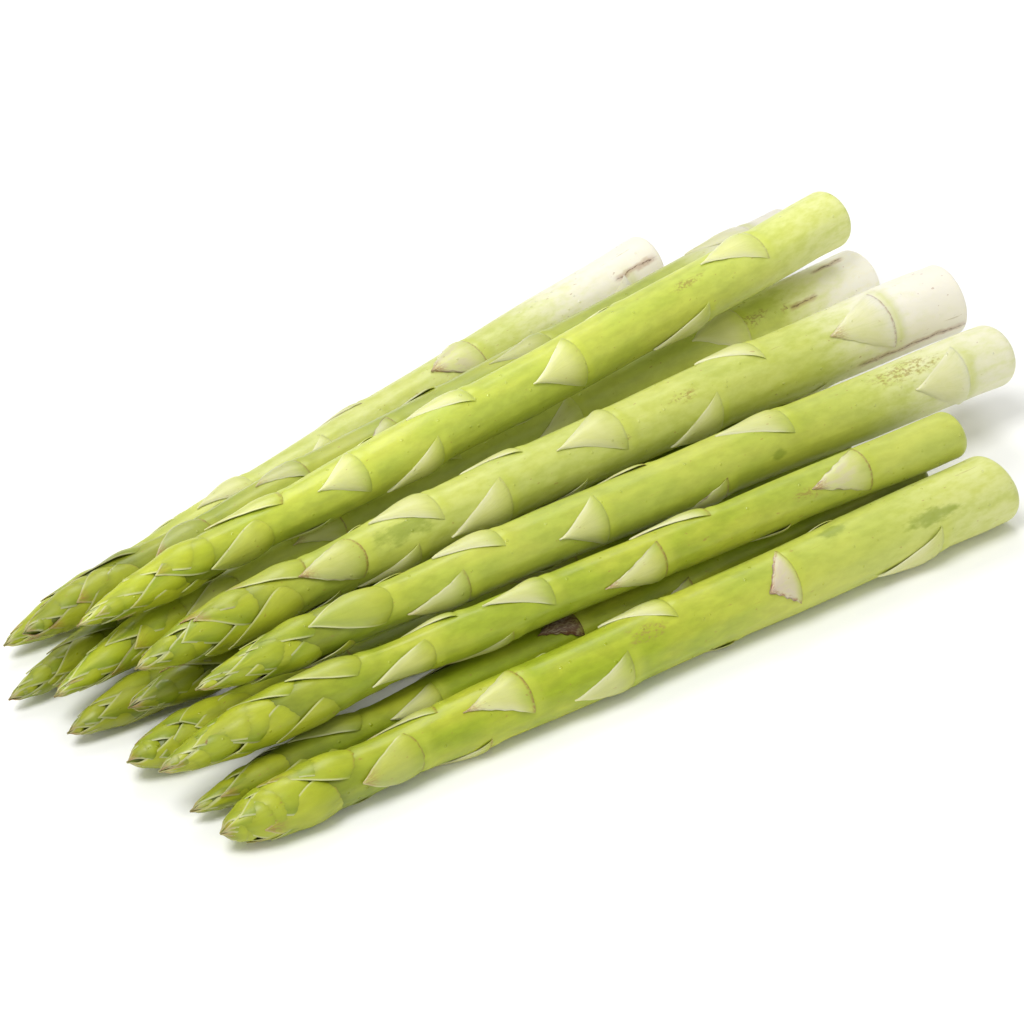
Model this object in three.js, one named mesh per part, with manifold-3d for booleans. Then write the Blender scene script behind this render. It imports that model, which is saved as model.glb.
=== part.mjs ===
// A loose bundle of thirteen thick green asparagus spears, lying down as a heap.
// Millimetres, +Z up. +X runs along the bundle towards the cut ends, and the tips point to -X.
// Each spear is one grown piece: a tapering stem, its scale leaves and its closed head.

import * as THREE from 'three';
import * as BufferGeometryUtils from 'three/addons/utils/BufferGeometryUtils.js';
import Module from 'manifold-3d';

const wasm = await Module();
wasm.setup();

// The spears, in the order in which they are laid on the heap.
// butt and tip are plan places, bow is the sideways bend towards +Y and rise the upward bend,
// droop is how far the head hangs, and the radii are those of the cut end, the neck and the head.
// spacing stretches the steps between scale leaves, turn is the topmost leaf's place in degrees round
// the spear, and seed sets the scatter of its leaves.
const SPEARS = [
  { name: 'spear_a', butt: [109, -64], tip: [-126, -46], bow: 0, rise: 0, droop: 0,
    buttRadius: 9.4, neckRadius: 7.2, headRadius: 7.0, headShare: 0.26, bluntness: 4.6,
    spacing: 1.0, seed: 245, turn: 350 },
  { name: 'spear_j', butt: [98, -45], tip: [-125, -33], bow: 0, rise: 0, droop: 1,
    buttRadius: 6.4, neckRadius: 5.4, headRadius: 5.6, headShare: 0.26, bluntness: 1.9,
    spacing: 1.1, seed: 9, turn: 200 },
  { name: 'spear_k', butt: [92, -23], tip: [-127, -11], bow: -1, rise: 0, droop: 0,
    buttRadius: 6.6, neckRadius: 6.0, headRadius: 6.8, headShare: 0.25, bluntness: 3.4,
    spacing: 1.1, seed: 11, turn: 75 },
  { name: 'spear_m', butt: [92, 14], tip: [-130, 9], bow: 0, rise: 0, droop: 1,
    buttRadius: 6.4, neckRadius: 5.6, headRadius: 5.9, headShare: 0.24, bluntness: 2.2,
    spacing: 1.1, seed: 13, turn: 300 },
  { name: 'spear_i', butt: [152, 32], tip: [-127.5, 17.5], bow: 2, rise: 0, droop: 6,
    buttRadius: 8.6, neckRadius: 6.2, headRadius: 6.0, headShare: 0.24, bluntness: 2.0,
    spacing: 1.0, seed: 729, turn: 350 },
  { name: 'spear_h', butt: [116, 52], tip: [-133, 29], bow: 2, rise: 0, droop: 1,
    buttRadius: 6.6, neckRadius: 5.6, headRadius: 5.8, headShare: 0.25, bluntness: 2.0,
    spacing: 1.0, seed: 8, turn: 40 },
  { name: 'spear_g', butt: [111, 73], tip: [-122, 47], bow: 0, rise: 0, droop: 0,
    buttRadius: 9.2, neckRadius: 6.2, headRadius: 6.0, headShare: 0.25, bluntness: 2.0,
    spacing: 1.1, seed: 204, turn: 165 },
  { name: 'spear_l', butt: [98, -5], tip: [-119, -1], bow: 0, rise: 0, droop: 1,
    buttRadius: 6.8, neckRadius: 5.8, headRadius: 5.8, headShare: 0.25, bluntness: 2.2,
    spacing: 1.1, seed: 12, turn: 120 },
  { name: 'spear_b', butt: [105.5, -50], tip: [-129, -27], bow: 0, rise: 0, droop: 4,
    buttRadius: 6.4, neckRadius: 5.3, headRadius: 6.6, headShare: 0.30, bluntness: 2.4,
    spacing: 1.0, seed: 1938, turn: 75 },
  { name: 'spear_d', butt: [146, -7], tip: [-119, -5], bow: 4, rise: 0, droop: 0,
    buttRadius: 9.8, neckRadius: 7.2, headRadius: 7.0, headShare: 0.26, bluntness: 2.2,
    spacing: 0.8, seed: 239, turn: 195 },
  { name: 'spear_c', butt: [140, -31.3], tip: [-112, -19], bow: 1, rise: 0, droop: 1,
    buttRadius: 8.5, neckRadius: 6.7, headRadius: 6.5, headShare: 0.27, bluntness: 1.8,
    spacing: 1.15, seed: 162, turn: 185 },
  { name: 'spear_f', butt: [139, 48], tip: [-127, 30], bow: 0, rise: 0, droop: 0,
    buttRadius: 7.4, neckRadius: 6.6, headRadius: 6.6, headShare: 0.25, bluntness: 2.8,
    spacing: 1.05, seed: 20, turn: 55 },
  { name: 'spear_e', butt: [143, 35], tip: [-118, 20], bow: -4, rise: 2, droop: 1,
    buttRadius: 8.2, neckRadius: 6.7, headRadius: 6.3, headShare: 0.26, bluntness: 1.9,
    spacing: 1.0, seed: 1088, turn: 10 },
];

// How the spears lie on each other.
const SPEAR_GAP = 1.0;            // air between two stems where they touch
const SKIN_GAP = 0.4;             // air that a scale leaf keeps to the next spear
const FLOOR_FLAT = 0.4;           // how much the underside is flattened where it rests
const SAMPLES = 91;               // stations along a spear for finding where it rests
const PRESS_ROUNDS = 12;          // steps for pressing a point back from the next spear
const PRESS_SHARE = 0.55;         // share of the excess taken off in each step
const PRESS_ENOUGH = 0.005;       // excess that may stay

// The stem.
const STEM_SIDES = 10;
const STEM_RINGS = 6;
const HEAD_RINGS = 4;
const CUT_BEVEL = 1.2;            // length of the bevel at the rim of the cut end
const CUT_BEVEL_DEPTH = 0.72;     // and how far it goes in
const HEAD_RING_CROWDING = 0.85;  // rings of the head lie closer to its tip below 1
const STEM_TAPER = 1.1;           // how late along the stem it thins: 1 is an even taper
const HEAD_WIDEST = 0.35;         // where along the head it is widest
const HEAD_POINT = 0.8;           // how sharply the head closes at the tip
const HEAD_INSET = 1.4;           // how far the core of a head lies under its scale leaves
const HEAD_INSET_LIMIT = 0.35;    // and the most of the radius that this may take
const HEAD_START = 0.06;          // the inset begins this far before the neck, as a share of the spear
const TIP_RADIUS = 0.4;
const DIRECTION_STEP = 0.004;     // step along the spear for finding its direction

// The scale leaves.
const FIRST_LEAF = 7;             // distance of the topmost leaf's foot from the tip
const LEAF_STEP = 3.4;            // distance between two leaves at the very tip
const LEAF_STEP_GROWTH = 0.105;   // how much of the distance from the tip is added to it
const LEAF_TURN = 137.5;          // degrees from one leaf to the next
const LEAF_TURN_SCATTER = 16;     // degrees
const LEAF_STEP_SCATTER = 0.3;    // as a share of the step
const LEAF_LENGTH_TIP = 10;       // length at the tip of the spear
const LEAF_LENGTH_GAIN = 9;       // how much longer a leaf low on the stem is
const LEAF_LENGTH_REACH = 45;     // distance from the tip over which it grows
const HEAD_LEAF_NEAR = 0.6;       // a leaf is a head leaf up to this share of the head's length
const HEAD_LEAF_FAR = 1.3;        // and a stem leaf from this share
const HEAD_LEAF_RELIEF = 1.3;     // head leaves stand this many times as proud
const SLENDER_SHARE = 0.5;        // a core under this share of the neck's radius has flatter leaves
const STEM_LEAF_OUTLINE = 0.8;    // power of a stem leaf's narrowing, hollow-sided below 1
const HEAD_LEAF_OUTLINE = 2;      // power of a head leaf's narrowing
const LEAF_HALF_ANGLE = 50;       // degrees round the stem from the leaf's middle to its edge
const LEAF_HALF_ANGLE_HEAD = 64;
const LEAF_RELIEF = 1.1;          // how proud a leaf stands of the stem
const LEAF_ROWS = [0, 0.14, 0.55]; // stations from the leaf's foot to its point, which is at 1
const LEAF_FOOT_SUNK = 0.6;       // how deep its foot is sunk in the stem
const LEAF_EDGE = 0.25;           // how proud its side edges stand
const LEAF_POINT = 0.35;          // how proud its point stands on the stem, and twice that on a head
const LEAF_ROOT = 0.55;           // how deep it is rooted, as a share of the stem's radius
const LEAF_ROOT_PLACE = 0.4;      // where along the leaf its root lies
const LEAF_OVERHANG = 0.5;        // how far a leaf may pass the spear's tip
const LEAF_FOOT_CLEAR = 12;       // bare length above the cut end

const FLOOR_BLOCK = [400, 300, 20];
const WELD_DISTANCE = 1e-4;
const SKIN_COLOUR = 0xa9bd46;
const SKIN_ROUGHNESS = 0.45;

const UP = new THREE.Vector3(0, 0, 1);

function seededRandom(seed) {
  let state = seed >>> 0;
  return () => {
    state = (state + 0x6D2B79F5) >>> 0;
    let t = state;
    t = Math.imul(t ^ (t >>> 15), t | 1);
    t ^= t + Math.imul(t ^ (t >>> 7), t | 61);
    return ((t ^ (t >>> 14)) >>> 0) / 4294967296;
  };
}

function smooth(x) {
  const u = THREE.MathUtils.clamp(x, 0, 1);
  return u * u * (3 - 2 * u);
}

function planLength(spear) {
  return Math.hypot(spear.tip[0] - spear.butt[0], spear.tip[1] - spear.butt[1]);
}

// Outer radius at the fraction t of the way from the cut end to the tip.
function outerRadius(spear, t) {
  const neck = 1 - spear.headShare;
  const widest = neck + HEAD_WIDEST * spear.headShare;
  if (t < neck) {
    return spear.buttRadius + (spear.neckRadius - spear.buttRadius) * (t / neck) ** STEM_TAPER;
  }
  if (t < widest) {
    const swell = smooth((t - neck) / (widest - neck));
    return spear.neckRadius + (spear.headRadius - spear.neckRadius) * swell;
  }
  const taper = (t - widest) / (1 - widest);
  const closing = Math.max(0, 1 - taper ** spear.bluntness) ** HEAD_POINT;
  return Math.max(TIP_RADIUS, spear.headRadius * closing);
}

// The head's core lies under the scale leaves that cover it.
function coreRadius(spear, t) {
  const neck = 1 - spear.headShare;
  const outer = outerRadius(spear, t);
  const inset = HEAD_INSET * smooth((t - neck + HEAD_START) / (2 * HEAD_START));
  return outer - Math.min(inset, HEAD_INSET_LIMIT * outer);
}

// The bend of a spear, without the height and slope at which it rests.
function ownHeight(spear, t) {
  const neck = 1 - spear.headShare;
  const hang = Math.max(0, (t - neck) / spear.headShare);
  return spear.rise * 4 * t * (1 - t) - spear.droop * hang * hang;
}

function planPoint(spear, t) {
  const dx = spear.tip[0] - spear.butt[0];
  const dy = spear.tip[1] - spear.butt[1];
  const length = Math.hypot(dx, dy);
  const side = spear.bow * 4 * t * (1 - t) * (dx < 0 ? 1 : -1);
  return [spear.butt[0] + dx * t + side * dy / length, spear.butt[1] + dy * t - side * dx / length];
}

function centreAt(spear, t) {
  const [x, y] = planPoint(spear, t);
  const z = spear.low + (spear.high - spear.low) * t + ownHeight(spear, t);
  return new THREE.Vector3(x, y, z);
}

// The lowest height that each station of a spear may have over the floor and the spears laid before it.
function lowestHeights(spear, laid) {
  const heights = [];
  for (let i = 0; i < SAMPLES; i += 1) {
    const t = i / (SAMPLES - 1);
    const [x, y] = planPoint(spear, t);
    const radius = outerRadius(spear, t);
    let height = radius - FLOOR_FLAT;
    for (const other of laid) {
      for (const station of other.stations) {
        const reach = radius + station.radius + SPEAR_GAP;
        const room = reach ** 2 - (x - station.point.x) ** 2 - (y - station.point.y) ** 2;
        if (room > 0) {
          height = Math.max(height, station.point.z + Math.sqrt(room));
        }
      }
    }
    heights.push({ t, radius, need: height - ownHeight(spear, t) });
  }
  return heights;
}

// A spear comes to rest on the two stations, one on each side of its centre of mass,
// whose line holds that centre highest.
function settle(spear, laid) {
  const heights = lowestHeights(spear, laid);
  let weight = 0;
  let moment = 0;
  for (const station of heights) {
    weight += station.radius ** 2;
    moment += station.radius ** 2 * station.t;
  }
  const middle = moment / weight;
  let best = -Infinity;
  for (const a of heights.filter((station) => station.t <= middle)) {
    for (const b of heights.filter((station) => station.t > middle)) {
      const slope = (b.need - a.need) / (b.t - a.t);
      const level = a.need + slope * (middle - a.t);
      if (level > best) {
        best = level;
        spear.low = level - slope * middle;
        spear.high = level + slope * (1 - middle);
      }
    }
  }
  spear.stations = heights.map(({ t, radius }) => ({ point: centreAt(spear, t), radius }));
}

// Directions across the spear at t: sideways and upwards.
function crossFrame(spear, t) {
  const ahead = centreAt(spear, Math.min(1, t + DIRECTION_STEP));
  const along = ahead.sub(centreAt(spear, Math.max(0, t - DIRECTION_STEP))).normalize();
  const side = new THREE.Vector3().crossVectors(UP, along).normalize();
  return { side, up: new THREE.Vector3().crossVectors(along, side) };
}

// A point at the given angle and height over the core, pressed back where the next spear lies.
function skinPoint(spear, t, angle, height) {
  const inside = Math.min(1, Math.max(0, t));
  const centre = centreAt(spear, inside);
  if (t !== inside) {
    const reach = centreAt(spear, 1).sub(centreAt(spear, 1 - DIRECTION_STEP));
    centre.addScaledVector(reach, (t - inside) / DIRECTION_STEP);
  }
  const { side, up } = crossFrame(spear, inside);
  const direction = side.multiplyScalar(Math.cos(angle)).addScaledVector(up, Math.sin(angle));
  const outer = outerRadius(spear, inside);
  let radius = coreRadius(spear, inside) + height;
  const point = new THREE.Vector3();
  for (let round = 0; round < PRESS_ROUNDS; round += 1) {
    point.copy(centre).addScaledVector(direction, radius);
    let room = Infinity;
    for (const other of SPEARS) {
      if (other === spear) continue;
      for (const station of other.stations) {
        room = Math.min(room, point.distanceTo(station.point) - station.radius);
      }
    }
    const excess = radius - outer - room + SKIN_GAP;
    if (excess <= PRESS_ENOUGH) break;
    radius -= PRESS_SHARE * excess;
  }
  return point;
}

function solidOf(points, faces) {
  let geometry = new THREE.BufferGeometry().setFromPoints(points);
  geometry.setIndex(faces.flat());
  geometry = BufferGeometryUtils.mergeVertices(geometry, WELD_DISTANCE);
  return new wasm.Manifold(new wasm.Mesh({
    numProp: 3,
    vertProperties: new Float32Array(geometry.attributes.position.array),
    triVerts: new Uint32Array(geometry.index.array),
  }));
}

// The stem and the core of the head, from the flat cut end to the tip.
function stemSolid(spear) {
  const neck = 1 - spear.headShare;
  const bevel = CUT_BEVEL / planLength(spear);
  const rings = [[0, -CUT_BEVEL_DEPTH], [bevel, 0]];
  for (let i = 1; i <= STEM_RINGS; i += 1) {
    rings.push([bevel + (neck - bevel) * i / STEM_RINGS, 0]);
  }
  for (let i = 1; i < HEAD_RINGS; i += 1) {
    rings.push([neck + spear.headShare * (i / HEAD_RINGS) ** HEAD_RING_CROWDING, 0]);
  }
  const points = [];
  for (const [t, height] of rings) {
    for (let side = 0; side < STEM_SIDES; side += 1) {
      points.push(skinPoint(spear, t, 2 * Math.PI * side / STEM_SIDES, height));
    }
  }
  const faces = [];
  for (let ring = 0; ring + 1 < rings.length; ring += 1) {
    for (let side = 0; side < STEM_SIDES; side += 1) {
      const a = ring * STEM_SIDES + side;
      const b = ring * STEM_SIDES + (side + 1) % STEM_SIDES;
      faces.push([a, b, a + STEM_SIDES], [b, b + STEM_SIDES, a + STEM_SIDES]);
    }
  }
  const cutCentre = points.push(centreAt(spear, 0)) - 1;
  const tipPoint = points.push(centreAt(spear, 1)) - 1;
  const lastRing = (rings.length - 1) * STEM_SIDES;
  for (let side = 0; side < STEM_SIDES; side += 1) {
    const next = (side + 1) % STEM_SIDES;
    faces.push([cutCentre, next, side], [tipPoint, lastRing + side, lastRing + next]);
  }
  return solidOf(points, faces);
}

// One scale leaf: a raised triangle whose foot is sunk in the stem and whose point lies towards the tip.
function leafSolid(spear, foot, angle) {
  const length = planLength(spear);
  const fromTip = foot / (spear.headShare * length);
  const inHead = 1 - smooth((fromTip - HEAD_LEAF_NEAR) / (HEAD_LEAF_FAR - HEAD_LEAF_NEAR));
  const leafLength = LEAF_LENGTH_TIP + LEAF_LENGTH_GAIN * (1 - Math.exp(-foot / LEAF_LENGTH_REACH));
  const tHeel = 1 - foot / length;
  const narrowing = Math.min(1, coreRadius(spear, tHeel) / (SLENDER_SHARE * spear.neckRadius));
  const halfAngle = THREE.MathUtils.degToRad(
    THREE.MathUtils.lerp(LEAF_HALF_ANGLE, LEAF_HALF_ANGLE_HEAD, inHead));
  const fullRelief = LEAF_RELIEF * narrowing * THREE.MathUtils.lerp(1, HEAD_LEAF_RELIEF, inHead);
  const points = [];
  for (const row of LEAF_ROWS) {
    const t = tHeel + row * leafLength / length;
    const pointed = 1 - row ** STEM_LEAF_OUTLINE;
    const ovate = 1 - row ** HEAD_LEAF_OUTLINE;
    const width = halfAngle * THREE.MathUtils.lerp(pointed, ovate, inHead);
    const relief = row === 0 ? -LEAF_FOOT_SUNK : fullRelief;
    for (const side of [-1, 0, 1]) {
      const height = side === 0 ? relief : Math.min(relief, LEAF_EDGE);
      points.push(skinPoint(spear, t, angle + side * width, height));
    }
  }
  const tApex = Math.min(tHeel + leafLength / length, 1 + LEAF_OVERHANG / length);
  points.push(skinPoint(spear, tApex, angle, LEAF_POINT * (1 + inHead * narrowing)));
  const tRoot = tHeel + LEAF_ROOT_PLACE * leafLength / length;
  points.push(skinPoint(spear, tRoot, angle, -LEAF_ROOT * coreRadius(spear, tRoot)));
  const faces = [
    [0, 1, 3], [1, 4, 3], [1, 2, 4], [2, 5, 4],
    [3, 4, 6], [4, 7, 6], [4, 5, 7], [5, 8, 7],
    [6, 7, 9], [7, 8, 9],
    [1, 0, 10], [2, 1, 10], [5, 2, 10], [8, 5, 10], [9, 8, 10], [6, 9, 10], [3, 6, 10], [0, 3, 10],
  ];
  return solidOf(points, faces);
}

function growSpear(spear) {
  const length = planLength(spear);
  const random = seededRandom(spear.seed);
  let body = stemSolid(spear);
  let foot = FIRST_LEAF;
  let angle = spear.turn;
  while (foot < length - LEAF_FOOT_CLEAR) {
    body = body.add(leafSolid(spear, foot, THREE.MathUtils.degToRad(angle)));
    const step = spear.spacing * (LEAF_STEP + LEAF_STEP_GROWTH * foot);
    foot += step * (1 + LEAF_STEP_SCATTER * (random() - 0.5));
    angle += LEAF_TURN + LEAF_TURN_SCATTER * (random() - 0.5);
  }
  return body;
}

// Everything below the surface that the heap lies on.
function belowFloor() {
  const slab = new THREE.BoxGeometry(...FLOOR_BLOCK);
  slab.translate(0, 0, -FLOOR_BLOCK[2] / 2);
  slab.deleteAttribute('normal');
  slab.deleteAttribute('uv');
  const merged = BufferGeometryUtils.mergeVertices(slab, WELD_DISTANCE);
  return new wasm.Manifold(new wasm.Mesh({
    numProp: 3,
    vertProperties: new Float32Array(merged.attributes.position.array),
    triVerts: new Uint32Array(merged.index.array),
  }));
}

function meshOf(solid, name) {
  const { vertProperties, triVerts } = solid.getMesh();
  const geometry = new THREE.BufferGeometry();
  geometry.setAttribute('position', new THREE.BufferAttribute(new Float32Array(vertProperties), 3));
  geometry.setIndex(new THREE.BufferAttribute(new Uint32Array(triVerts), 1));
  geometry.computeVertexNormals();
  const skin = new THREE.MeshStandardMaterial({
    color: SKIN_COLOUR, roughness: SKIN_ROUGHNESS, metalness: 0,
  });
  const mesh = new THREE.Mesh(geometry, skin);
  mesh.name = name;
  return mesh;
}

const laid = [];
for (const spear of SPEARS) {
  settle(spear, laid);
  laid.push(spear);
}

const bundle = new THREE.Group();
const floor = belowFloor();
for (const spear of SPEARS) {
  const grown = growSpear(spear).subtract(floor);
  bundle.add(meshOf(grown, spear.name));
}

// The origin is under the middle of the heap's box, on the surface that it lies on.
const middle = new THREE.Box3().setFromObject(bundle).getCenter(new THREE.Vector3());
bundle.position.set(-middle.x, -middle.y, 0);

export default bundle;
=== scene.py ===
# A loose bundle of thirteen thick green asparagus spears, lying as a heap on a pale surface.
# Lengths are millimetres and angles degrees, unless a name says otherwise. Meshes are made in metres.

import math
from dataclasses import dataclass
from types import SimpleNamespace

import bpy
import numpy as np
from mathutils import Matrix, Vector


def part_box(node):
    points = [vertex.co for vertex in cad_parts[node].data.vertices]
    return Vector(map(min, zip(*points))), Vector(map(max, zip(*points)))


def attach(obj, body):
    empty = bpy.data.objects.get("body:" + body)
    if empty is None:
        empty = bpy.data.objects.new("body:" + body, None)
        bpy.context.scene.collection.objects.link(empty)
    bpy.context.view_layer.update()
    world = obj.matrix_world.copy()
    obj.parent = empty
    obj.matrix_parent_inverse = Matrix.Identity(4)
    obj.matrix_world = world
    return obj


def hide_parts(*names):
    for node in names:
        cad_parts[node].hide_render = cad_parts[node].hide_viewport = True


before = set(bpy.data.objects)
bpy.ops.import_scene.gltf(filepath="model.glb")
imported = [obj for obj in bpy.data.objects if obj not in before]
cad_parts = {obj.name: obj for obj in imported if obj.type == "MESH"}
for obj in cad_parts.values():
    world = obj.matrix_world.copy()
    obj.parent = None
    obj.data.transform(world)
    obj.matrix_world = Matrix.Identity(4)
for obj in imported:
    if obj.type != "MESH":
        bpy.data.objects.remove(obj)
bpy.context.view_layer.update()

METRES = 0.001
DECIMETRE = 100

# The spears


@dataclass
class Spear:
    name: str
    butt: tuple             # plan place of the cut end
    tip: tuple              # plan place of the tip
    bow: float              # sideways bend towards +Y
    rise: float             # upward bend
    droop: float            # how far the head hangs
    butt_radius: float
    neck_radius: float
    head_radius: float
    head_share: float       # share of the length that is head
    bluntness: float
    spacing: float          # stretches the steps between scale leaves
    seed: int               # sets the scatter of its scale leaves
    turn: float             # the topmost scale leaf's place round the spear
    pale: float             # how white the cut end is
    pale_reach: float       # how far the whiteness goes up the stem
    wan: float              # how pale the whole stem is
    loose: float            # how far the head's leaf tips stand off
    rim: float = 2.2        # rounding of the cut end's rim
    tone: float = 1.0       # how light its skin is; below 1 it is painted shade on spears that lie low in the heap
    slot: str = "green_spear"
    low: float = 0.0        # height of its middle line at the cut end, once it is laid
    high: float = 0.0       # and at the tip
    stations: tuple = ()    # points on that line and the radius at each


# In the order in which they are laid on the heap.
# A tone below 1 is painted shade on the spears that lie low or under others in the heap.
SPEARS = [
    Spear("spear_a", (109, -64), (-126, -46), 0, 0, 0, 9.4, 7.2, 7.0, 0.26, 4.6,
          1.0, 245, 350, pale=0.48, pale_reach=130, wan=0.0, loose=0.2, rim=3.4),
    Spear("spear_j", (98, -45), (-125, -33), 0, 0, 1, 6.4, 5.4, 5.6, 0.26, 1.9,
          1.1, 9, 200, pale=0.3, pale_reach=50, wan=0.0, loose=0.3, tone=0.9),
    Spear("spear_k", (92, -23), (-127, -11), -1, 0, 0, 6.6, 6.0, 6.8, 0.25, 3.4,
          1.1, 11, 75, pale=0.4, pale_reach=50, wan=0.1, loose=0.3, tone=0.95),
    Spear("spear_m", (92, 14), (-130, 9), 0, 0, 1, 6.4, 5.6, 5.9, 0.24, 2.2,
          1.1, 13, 300, pale=0.4, pale_reach=50, wan=0.1, loose=0.2, tone=0.74),
    Spear("spear_i", (152, 32), (-127.5, 17.5), 2, 0, 6, 8.6, 6.2, 6.0, 0.24, 2.0,
          1.0, 729, 350, pale=0.9, pale_reach=70, wan=0.35, loose=0.6, tone=1.15,
          slot="pale_spear"),
    Spear("spear_h", (116, 52), (-133, 29), 2, 0, 1, 6.6, 5.6, 5.8, 0.25, 2.0,
          1.0, 8, 40, pale=1.0, pale_reach=60, wan=0.2, loose=0.3, tone=0.82),
    Spear("spear_g", (111, 73), (-122, 47), 0, 0, 0, 9.2, 6.2, 6.0, 0.25, 2.0,
          1.1, 204, 165, pale=1.0, pale_reach=110, wan=0.45, loose=0.3, slot="pale_spear"),
    Spear("spear_l", (98, -5), (-119, -1), 0, 0, 1, 6.8, 5.8, 5.8, 0.25, 2.2,
          1.1, 12, 120, pale=0.4, pale_reach=50, wan=0.1, loose=0.4, tone=0.72),
    Spear("spear_b", (105.5, -50), (-129, -27), 0, 0, 4, 6.4, 5.3, 6.6, 0.30, 2.4,
          1.0, 1938, 75, pale=0.35, pale_reach=100, wan=0.05, loose=0.2, tone=0.97),
    Spear("spear_d", (146, -7), (-119, -5), 4, 0, 0, 9.8, 7.2, 7.0, 0.26, 2.2,
          0.8, 239, 195, pale=1.0, pale_reach=95, wan=0.4, loose=0.2, rim=1.6,
          slot="pale_spear"),
    Spear("spear_c", (140, -31.3), (-112, -19), 1, 0, 1, 8.5, 6.7, 6.5, 0.27, 1.8,
          1.15, 162, 185, pale=0.7, pale_reach=110, wan=0.2, loose=0.2, rim=3.0),
    Spear("spear_f", (139, 48), (-127, 30), 0, 0, 0, 7.4, 6.6, 6.6, 0.25, 2.8,
          1.05, 20, 55, pale=1.0, pale_reach=75, wan=0.2, loose=0.4, tone=0.82),
    Spear("spear_e", (143, 35), (-118, 20), -4, 2, 1, 8.2, 6.7, 6.3, 0.26, 1.9,
          1.0, 1088, 10, pale=0.5, pale_reach=120, wan=0.2, loose=0.1, rim=3.2, tone=1.18),
]

# How the spears lie on each other, as in the solids.
SPEAR_GAP = 1.0           # air where two of them would touch
SKIN_GAP = 0.4            # least air between a point and the next spear
FLOOR_FLAT = 0.4          # how much of an underside is cut flat
SAMPLES = 91
STEM_TAPER = 1.1          # power of the taper from the cut end to the neck
HEAD_WIDEST = 0.35        # where the head is widest, as a share of it from the neck
HEAD_POINT = 0.8          # power that shapes its point
TIP_RADIUS = 0.4
HEAD_INSET = 1.4          # how deep the head's core lies under its outer form
HEAD_INSET_LIMIT = 0.35   # and at most this share of the radius
HEAD_START = 0.06
DIRECTION_STEP = 0.004

# Where the scale leaves grow, as in the solids.
FIRST_LEAF = 7            # the topmost leaf's foot, from the tip
LEAF_STEP = 3.4           # from one foot to the next at the tip, and its growth down the stem
LEAF_STEP_GROWTH = 0.105
LEAF_STEP_SCATTER = 0.3
LEAF_TURN = 137.5
LEAF_TURN_SCATTER = 16
LEAF_LENGTH_TIP = 10      # a leaf's length at the tip, and what it gains down the stem
LEAF_LENGTH_GAIN = 9
LEAF_LENGTH_REACH = 45
HEAD_LEAF_NEAR = 0.6      # leaves are all of the head's kind up to this share of it
HEAD_LEAF_FAR = 1.3       # and all of the stem's kind from this one on
HEAD_LEAF_RELIEF = 1.3    # how much higher a head leaf is than a stem leaf
SLENDER_SHARE = 0.5       # leaves are lower where the core is thinner than this share of the neck
LEAF_FOOT_CLEAR = 12      # no leaf grows this near the cut end

# The fine mesh
STEM_SIDES = 48
STEM_STEP = 1.4
LEAF_ROW_COUNT = 19
LEAF_COLUMN_COUNT = 13
ROW_CROWDING = 1.15       # above 1, a leaf's rows lie closer together near its foot
LEAST_RADIUS = 0.02
SHARP_ANGLE = 50          # faces that meet at more than this are shaded with a crisp edge


def smooth(x):
    u = np.clip(x, 0, 1)
    return u * u * (3 - 2 * u)


def pillow(x):
    """Rises steeply from 0 and rounds over to 1."""
    return np.sqrt(1 - (1 - np.clip(x, 0, 1)) ** 2)


def lerp(a, b, share):
    return a + (b - a) * share


def seeded_random(seed):
    """Draws the same numbers as the solids' own generator, so that the leaves fall in the same places."""
    state = seed

    def draw():
        nonlocal state
        state = (state + 0x6D2B79F5) & 0xFFFFFFFF
        t = state
        t = ((t ^ (t >> 15)) * (t | 1)) & 0xFFFFFFFF
        t ^= (t + (((t ^ (t >> 7)) * (t | 61)) & 0xFFFFFFFF)) & 0xFFFFFFFF
        return (t ^ (t >> 14)) / 2 ** 32

    return draw


def plan_length(spear):
    return math.hypot(spear.tip[0] - spear.butt[0], spear.tip[1] - spear.butt[1])


def outer_radius(spear, t):
    neck = 1 - spear.head_share
    widest = neck + HEAD_WIDEST * spear.head_share
    stem = lerp(spear.butt_radius, spear.neck_radius, np.clip(t / neck, 0, 1) ** STEM_TAPER)
    swell = lerp(spear.neck_radius, spear.head_radius, smooth((t - neck) / (widest - neck)))
    taper = np.clip((t - widest) / (1 - widest), 0, 1)
    closing = spear.head_radius * (1 - taper ** spear.bluntness) ** HEAD_POINT
    return np.where(t < neck, stem, np.where(t < widest, swell, np.maximum(TIP_RADIUS, closing)))


def core_radius(spear, t):
    neck = 1 - spear.head_share
    outer = outer_radius(spear, t)
    inset = HEAD_INSET * smooth((t - neck + HEAD_START) / (2 * HEAD_START))
    return outer - np.minimum(inset, HEAD_INSET_LIMIT * outer)


def own_height(spear, t):
    neck = 1 - spear.head_share
    hang = np.maximum(0, (t - neck) / spear.head_share)
    return spear.rise * 4 * t * (1 - t) - spear.droop * hang ** 2


def centre_at(spear, t):
    dx = spear.tip[0] - spear.butt[0]
    dy = spear.tip[1] - spear.butt[1]
    length = plan_length(spear)
    side = spear.bow * 4 * t * (1 - t) * (1 if dx < 0 else -1)
    x = spear.butt[0] + dx * t + side * dy / length
    y = spear.butt[1] + dy * t - side * dx / length
    z = lerp(spear.low, spear.high, t) + own_height(spear, t)
    return np.stack([x, y, z], axis=-1)


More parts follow.
